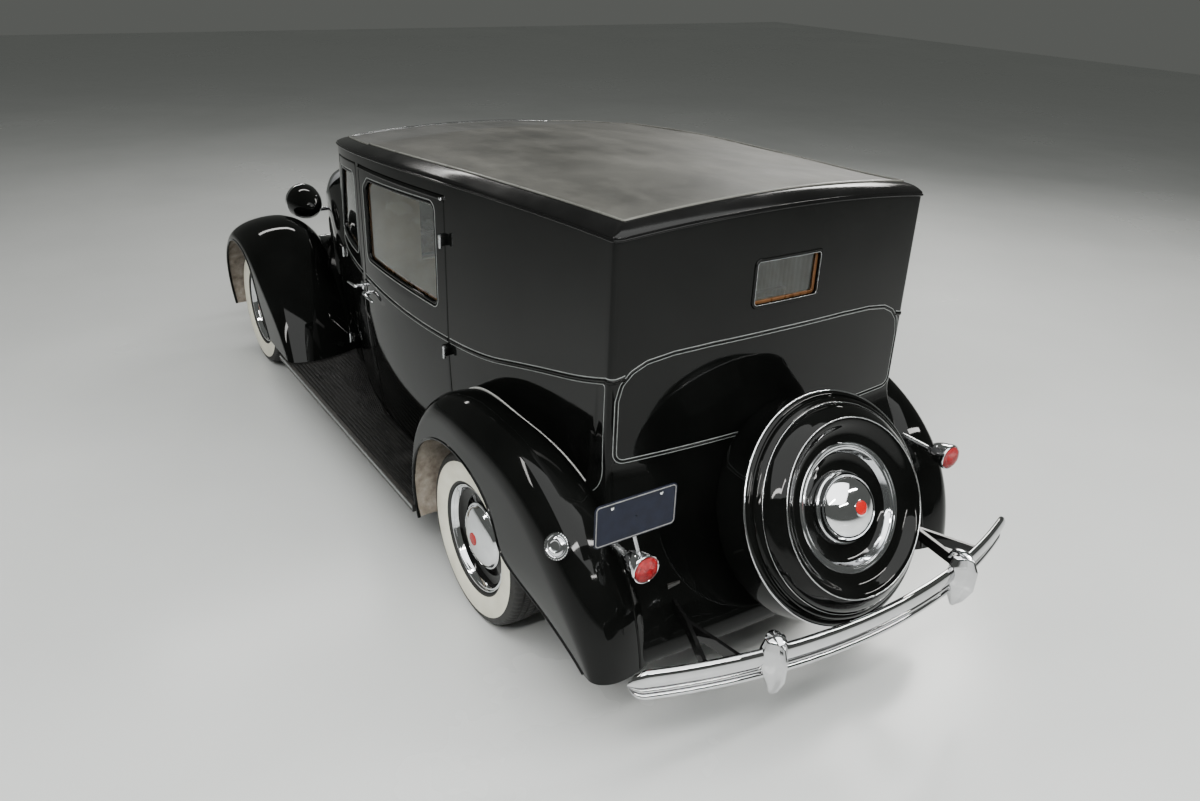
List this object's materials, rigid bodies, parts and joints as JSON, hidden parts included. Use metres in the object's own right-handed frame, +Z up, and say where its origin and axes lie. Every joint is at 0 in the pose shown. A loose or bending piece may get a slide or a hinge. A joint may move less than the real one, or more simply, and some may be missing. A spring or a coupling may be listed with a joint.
{
  "type": "town car",
  "caption": "Closed-quarter town car on separate fenders and running boards, with hinged doors, butterfly hood, steered front wheels and covered spare.",
  "frame": {"origin": "on the ground at mid length and mid width", "axes": "+X forward, +Y to the car's left, +Z up"},
  "size_m": [5.15, 1.8691, 1.8335],
  "materials": {
    "body_paint": "gloss black coachwork enamel",
    "roof_cloth": "grained roof leathercloth with worn scuffs",
    "roof_front_cloth": "lighter grey roof leathercloth",
    "frame_black": "satin black chassis paint",
    "wheelhouse_tan": "mottled tan undercoat",
    "chrome": "polished chrome",
    "wheel_black": "gloss black wheel enamel",
    "tyre": "black rubber with a wide cream sidewall band",
    "glass": "clear flat safety glass",
    "cloth_tan": "beige wool upholstery cloth",
    "leather_black": "black buttoned seat leather",
    "dash_paint": "brown grained dashboard",
    "board_rubber": "ribbed black rubber mat",
    "cast_grey": "grey engine enamel",
    "steel_dull": "dull steel",
    "plate_navy": "blank navy plate"
  },
  "bodies": {
    "body": {"chassis_frame": "frame_black", "floor_pan": "frame_black", "engine_block": "cast_grey", "radiator_shell": "chrome", "grille": "chrome", "cowl": "body_paint", "windshield_frame": "chrome", "fixed_glass": "glass", "hood_sides": "body_paint", "front_fender_l": "body_paint", "front_fender_r": "body_paint", "rear_fender_l": "body_paint", "rear_fender_r": "body_paint", "running_boards": "board_rubber", "headlamps": "chrome", "rear_quarters": "body_paint", "wheelhouse_l": "wheelhouse_tan", "wheelhouse_r": "wheelhouse_tan", "back_panel": "body_paint", "tail_panel": "body_paint", "side_frames": "body_paint", "roof_rear": "roof_cloth", "roof_front": "roof_front_cloth", "division": "cloth_tan", "front_seat": "leather_black", "rear_seat": "cloth_tan", "dashboard": "dash_paint", "rear_axle": "frame_black", "front_suspension": "frame_black", "exhaust": "steel_dull", "fuel_tank": "frame_black", "front_bumper": "chrome", "rear_bumper": "chrome", "bumper_irons": "frame_black", "tail_lamps": "chrome", "licence_plate": "plate_navy", "spare_cover": "body_paint"},
    "wheel_fl": {"tyre_fl": "tyre", "wheel_fl": "wheel_black"},
    "wheel_fr": {"tyre_fr": "tyre", "wheel_fr": "wheel_black"},
    "wheel_rl": {"tyre_rl": "tyre", "wheel_rl": "wheel_black"},
    "wheel_rr": {"tyre_rr": "tyre", "wheel_rr": "wheel_black"},
    "knuckle_fl": {"knuckle_fl": "frame_black"},
    "knuckle_fr": {"knuckle_fr": "frame_black"},
    "door_front_l": {"door_front_l": "body_paint", "glass_front_l": "glass"},
    "door_front_r": {"door_front_r": "body_paint", "glass_front_r": "glass"},
    "door_rear_l": {"door_rear_l": "body_paint", "glass_rear_l": "glass"},
    "door_rear_r": {"door_rear_r": "body_paint", "glass_rear_r": "glass"},
    "hood_left": {"hood_left": "body_paint"},
    "hood_right": {"hood_right": "body_paint"}
  },
  "joints": [
    {"name": "steer_fl", "type": "hinge", "parent": "body", "child": "knuckle_fl", "pos_m": [1.848, 0.652, 0.365], "axis": [0, 0, 1], "range_deg": [-30, 30]},
    {"name": "steer_fr", "type": "hinge", "parent": "body", "child": "knuckle_fr", "pos_m": [1.848, -0.652, 0.365], "axis": [0, 0, 1], "range_deg": [-30, 30]},
    {"name": "spin_fl", "type": "hinge", "parent": "knuckle_fl", "child": "wheel_fl", "pos_m": [1.848, 0.747, 0.365], "axis": [0, 1, 0], "continuous": true},
    {"name": "spin_fr", "type": "hinge", "parent": "knuckle_fr", "child": "wheel_fr", "pos_m": [1.848, -0.747, 0.365], "axis": [0, 1, 0], "continuous": true},
    {"name": "spin_rl", "type": "hinge", "parent": "body", "child": "wheel_rl", "pos_m": [-1.2, 0.762, 0.365], "axis": [0, 1, 0], "continuous": true},
    {"name": "spin_rr", "type": "hinge", "parent": "body", "child": "wheel_rr", "pos_m": [-1.2, -0.762, 0.365], "axis": [0, 1, 0], "continuous": true},
    {"name": "open_rear_l", "type": "hinge", "parent": "body", "child": "door_rear_l", "pos_m": [-0.818, 0.768, 1], "axis": [0, 0, 1], "range_deg": [0, 70]},
    {"name": "open_front_l", "type": "hinge", "parent": "body", "child": "door_front_l", "pos_m": [0.705, 0.64, 1], "axis": [0, 0, -1], "range_deg": [0, 65]},
    {"name": "open_rear_r", "type": "hinge", "parent": "body", "child": "door_rear_r", "pos_m": [-0.818, -0.768, 1], "axis": [0, 0, -1], "range_deg": [0, 70]},
    {"name": "open_front_r", "type": "hinge", "parent": "body", "child": "door_front_r", "pos_m": [0.705, -0.64, 1], "axis": [0, 0, 1], "range_deg": [0, 65]},
    {"name": "raise_left", "type": "hinge", "parent": "body", "child": "hood_left", "pos_m": [1.5, 0, 1.125], "axis": [1, 0, 0], "range_deg": [0, 50]},
    {"name": "raise_right", "type": "hinge", "parent": "body", "child": "hood_right", "pos_m": [1.5, 0, 1.125], "axis": [-1, 0, 0], "range_deg": [0, 50]}
  ],
  "couplings": [
    {"joint": "steer_fr", "follows": "steer_fl", "ratio": 1}
  ]
}
